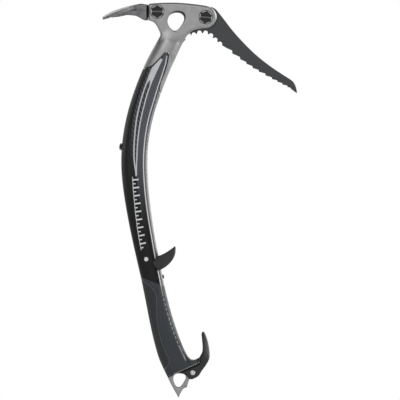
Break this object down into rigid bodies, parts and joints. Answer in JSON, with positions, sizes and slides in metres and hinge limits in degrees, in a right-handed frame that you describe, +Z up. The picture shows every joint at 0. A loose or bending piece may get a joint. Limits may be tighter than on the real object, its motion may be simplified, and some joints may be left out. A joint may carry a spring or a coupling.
{
  "type": "ice axe",
  "caption": "technical ice-climbing tool: toothed pick and adze bolted to a cast head, bent hollow shaft, finger trigger, moulded grip, spike and pommel hook",
  "frame": {"origin": "centre of the head's carabiner hole, on the tool's middle plane", "axes": "+Z up along the tool from the spike's point to the head, +X from the adze towards the pick, +Y across the tool from the bolt heads' side to the nuts' side"},
  "size_m": [0.2461, 0.0504, 0.5001],
  "materials": {
    "cast_steel": "satin, bead-blasted",
    "blackened_steel": "satin, blackened",
    "grey_steel": "satin, phosphated",
    "black_steel": "satin, blackened",
    "bright_steel": "bright zinc plate",
    "carbon_fibre": "clear-coated woven carbon with silver stripes",
    "black_nylon": "fine moulded texture",
    "grip_rubber": "matte",
    "soft_rubber": "matte, fine texture"
  },
  "bodies": {
    "tool": {"head": "cast_steel", "pick": "blackened_steel", "adze": "grey_steel", "adze_nut": "black_steel", "pick_nut": "black_steel", "shaft": "carbon_fibre", "trigger": "black_nylon", "trigger_insert": "bright_steel", "plug_insert": "bright_steel", "trigger_plug": "black_nylon", "leash_stud_insert": "bright_steel", "grip": "grip_rubber", "grip_rear_panel": "soft_rubber", "grip_front_strip": "soft_rubber", "spike": "cast_steel", "spike_pin": "bright_steel", "pommel": "black_nylon", "pommel_nut": "bright_steel"},
    "adze_bolt_carriage": {"adze_bolt_washer": "bright_steel"},
    "adze_bolt_body": {"adze_bolt": "black_steel"},
    "pick_bolt_carriage": {"pick_bolt_washer": "bright_steel"},
    "pick_bolt_body": {"pick_bolt": "black_steel"},
    "pommel_screw_carriage": {"pommel_screw_washer": "bright_steel"},
    "pommel_screw_body": {"pommel_screw": "bright_steel"},
    "trigger_screw_carriage": {"trigger_screw_washer": "bright_steel"},
    "trigger_screw_body": {"trigger_screw": "black_steel"},
    "leash_stud_carriage": {"leash_stud_washer": "black_nylon"},
    "leash_stud_body": {"leash_stud": "black_steel"}
  },
  "joints": [
    {"name": "adze_bolt_travel", "type": "slide", "parent": "tool", "child": "adze_bolt_carriage", "axis": [0, -1, 0], "range_m": [0, 0.005]},
    {"name": "adze_bolt_turn", "type": "hinge", "parent": "adze_bolt_carriage", "child": "adze_bolt_body", "pos_m": [-0.0234, 0, 0.0126], "axis": [0, -1, 0], "range_deg": [0, 1440]},
    {"name": "pick_bolt_travel", "type": "slide", "parent": "tool", "child": "pick_bolt_carriage", "axis": [0, -1, 0], "range_m": [0, 0.005]},
    {"name": "pick_bolt_turn", "type": "hinge", "parent": "pick_bolt_carriage", "child": "pick_bolt_body", "pos_m": [0.0381, 0, 0.0054], "axis": [0, -1, 0], "range_deg": [0, 1440]},
    {"name": "pommel_screw_travel", "type": "slide", "parent": "tool", "child": "pommel_screw_carriage", "axis": [0, -1, 0], "range_m": [0, 0.0028]},
    {"name": "pommel_screw_turn", "type": "hinge", "parent": "pommel_screw_carriage", "child": "pommel_screw_body", "pos_m": [0.0216, 0, -0.4439], "axis": [0, -1, 0], "range_deg": [0, 1260]},
    {"name": "trigger_screw_travel", "type": "slide", "parent": "tool", "child": "trigger_screw_carriage", "axis": [0.9773, 0, 0.212], "range_m": [0, 0.0049]},
    {"name": "trigger_screw_turn", "type": "hinge", "parent": "trigger_screw_carriage", "child": "trigger_screw_body", "pos_m": [-0.01967, 0, -0.30606], "axis": [0.9773, 0, 0.212], "range_deg": [0, 2520]},
    {"name": "leash_stud_travel", "type": "slide", "parent": "tool", "child": "leash_stud_carriage", "axis": [-0.997, 0, 0.0775], "range_m": [0, 0.0049]},
    {"name": "leash_stud_turn", "type": "hinge", "parent": "leash_stud_carriage", "child": "leash_stud_body", "pos_m": [-0.06825, 0, -0.1583], "axis": [-0.997, 0, 0.0775], "range_deg": [0, 2520]}
  ],
  "couplings": [
    {"joint": "adze_bolt_turn", "follows": "adze_bolt_travel", "rad_per_m": 5026.5},
    {"joint": "pick_bolt_turn", "follows": "pick_bolt_travel", "rad_per_m": 5026.5},
    {"joint": "pommel_screw_turn", "follows": "pommel_screw_travel", "rad_per_m": 7854},
    {"joint": "trigger_screw_turn", "follows": "trigger_screw_travel", "rad_per_m": 8976},
    {"joint": "leash_stud_turn", "follows": "leash_stud_travel", "rad_per_m": 8976}
  ]
}
